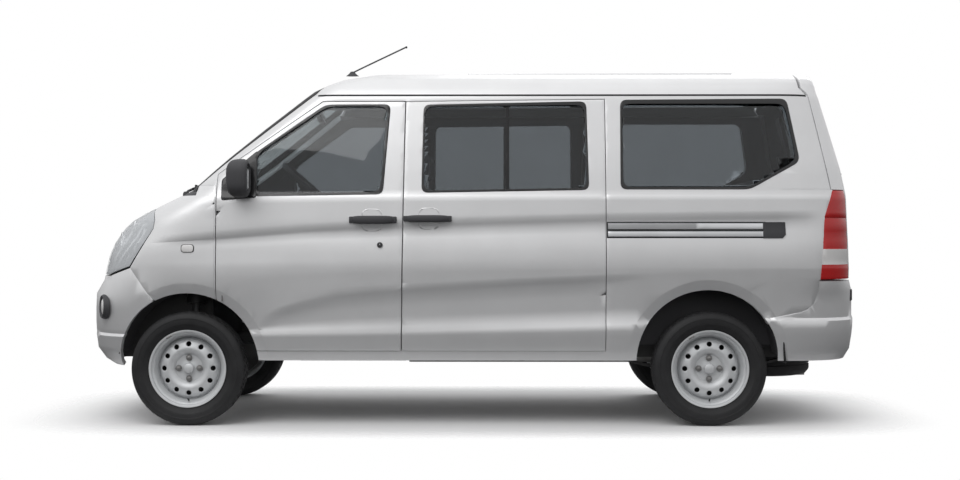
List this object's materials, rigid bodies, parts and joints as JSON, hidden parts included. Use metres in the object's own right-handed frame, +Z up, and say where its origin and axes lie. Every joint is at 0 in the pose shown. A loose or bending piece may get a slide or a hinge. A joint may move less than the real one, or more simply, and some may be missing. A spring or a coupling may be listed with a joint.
{
  "type": "compact minivan",
  "caption": "One-box compact minivan with hinged front doors, sliding rear doors, a top-hinged tailgate, steered front wheels and rows of bench seats.",
  "frame": {"origin": "on the ground, under the centre of the vehicle's outline", "axes": "+X towards the rear, -Y towards the vehicle's left side, +Z up"},
  "size_m": [4.1066, 1.921, 2.0145],
  "materials": {
    "body_paint": "silver metallic paint",
    "glass": "dark tinted glass",
    "clear_glass": "clear laminated glass",
    "black_plastic": "grained black plastic",
    "lamp_lens": "clear lamp lens over bright reflectors",
    "red_lens": "red lamp lens with clear insets",
    "aluminium": "anodised aluminium rail",
    "underbody": "dark underbody coating",
    "chassis_paint": "black chassis paint",
    "steel": "bare and zinc-plated steel",
    "exhaust_steel": "aluminised steel",
    "engine_metal": "cast engine block",
    "tyre": "black rubber",
    "wheel_silver": "silver-painted pressed steel",
    "seat_fabric": "grey woven seat fabric",
    "interior_plastic": "dark grey interior plastic"
  },
  "bodies": {
    "root": {"side_panels": "body_paint", "front_wings": "body_paint", "roof_panel": "body_paint", "windscreen": "clear_glass", "cowl_panel": "black_plastic", "front_bumper": "body_paint", "front_grille": "black_plastic", "headlights": "lamp_lens", "rear_bumper": "body_paint", "tail_lights": "red_lens", "sliding_doors": "body_paint", "side_windows": "glass", "slide_rails": "aluminium", "floor_pan": "underbody", "chassis_frame": "chassis_paint", "inner_wings": "chassis_paint", "arch_liners": "black_plastic", "dashboard": "interior_plastic", "steering_column": "interior_plastic", "seat_frames": "chassis_paint", "front_seats": "seat_fabric", "middle_seat": "seat_fabric", "rear_seat": "seat_fabric", "engine": "engine_metal", "propeller_shaft": "steel", "fuel_tank": "underbody", "exhaust": "exhaust_steel", "spare_wheel": "tyre", "rear_axle": "chassis_paint", "leaf_springs": "chassis_paint", "front_suspension": "chassis_paint", "aerial": "black_plastic", "hinges": "steel"},
    "front_door_left": {"front_door_left": "body_paint", "door_glass_left": "glass", "door_mirror_left": "black_plastic"},
    "front_door_right": {"front_door_right": "body_paint", "door_glass_right": "glass", "door_mirror_right": "black_plastic"},
    "tailgate": {"tailgate": "body_paint", "tailgate_glass": "glass"},
    "bonnet": {"bonnet": "body_paint"},
    "knuckle_left": {"knuckle_left": "steel"},
    "knuckle_right": {"knuckle_right": "steel"},
    "steering_wheel": {"steering_wheel": "interior_plastic"},
    "wheel_front_left": {"tyre_front_left": "tyre", "rim_front_left": "wheel_silver"},
    "wheel_front_right": {"tyre_front_right": "tyre", "rim_front_right": "wheel_silver"},
    "wheel_rear_left": {"tyre_rear_left": "tyre", "rim_rear_left": "wheel_silver"},
    "wheel_rear_right": {"tyre_rear_right": "tyre", "rim_rear_right": "wheel_silver"}
  },
  "joints": [
    {"name": "front_door_left_hinge", "type": "hinge", "parent": "root", "child": "front_door_left", "pos_m": [-1.279, -0.792, 0.83], "axis": [0, 0, -1], "range_deg": [0, 65]},
    {"name": "front_door_right_hinge", "type": "hinge", "parent": "root", "child": "front_door_right", "pos_m": [-1.279, 0.792, 0.83], "axis": [0, 0, 1], "range_deg": [0, 65]},
    {"name": "tailgate_hinge", "type": "hinge", "parent": "root", "child": "tailgate", "pos_m": [1.742, 0, 1.858], "axis": [0, -1, 0], "range_deg": [0, 80]},
    {"name": "bonnet_hinge", "type": "hinge", "parent": "root", "child": "bonnet", "pos_m": [-1.59, 0, 1.178], "axis": [0, 1, 0], "range_deg": [0, 50]},
    {"name": "steer_left", "type": "hinge", "parent": "root", "child": "knuckle_left", "pos_m": [-1.465, -0.64, 0.295], "axis": [0, 0, 1], "range_deg": [-34, 34]},
    {"name": "steer_right", "type": "hinge", "parent": "root", "child": "knuckle_right", "pos_m": [-1.465, 0.64, 0.295], "axis": [0, 0, 1], "range_deg": [-34, 34]},
    {"name": "roll_front_left", "type": "hinge", "parent": "knuckle_left", "child": "wheel_front_left", "pos_m": [-1.465, -0.69, 0.295], "axis": [0, 1, 0], "continuous": true},
    {"name": "roll_front_right", "type": "hinge", "parent": "knuckle_right", "child": "wheel_front_right", "pos_m": [-1.465, 0.69, 0.295], "axis": [0, 1, 0], "continuous": true},
    {"name": "roll_rear_left", "type": "hinge", "parent": "root", "child": "wheel_rear_left", "pos_m": [1.235, -0.69, 0.295], "axis": [0, 1, 0], "continuous": true},
    {"name": "roll_rear_right", "type": "hinge", "parent": "root", "child": "wheel_rear_right", "pos_m": [1.235, 0.69, 0.295], "axis": [0, 1, 0], "continuous": true},
    {"name": "steering_wheel_turn", "type": "hinge", "parent": "root", "child": "steering_wheel", "pos_m": [-0.886, -0.37, 1.245], "axis": [0.682, 0, 0.7314], "range_deg": [-510, 510]}
  ],
  "couplings": [
    {"joint": "steer_right", "follows": "steer_left", "ratio": 1},
    {"joint": "steering_wheel_turn", "follows": "steer_left", "ratio": 15}
  ]
}
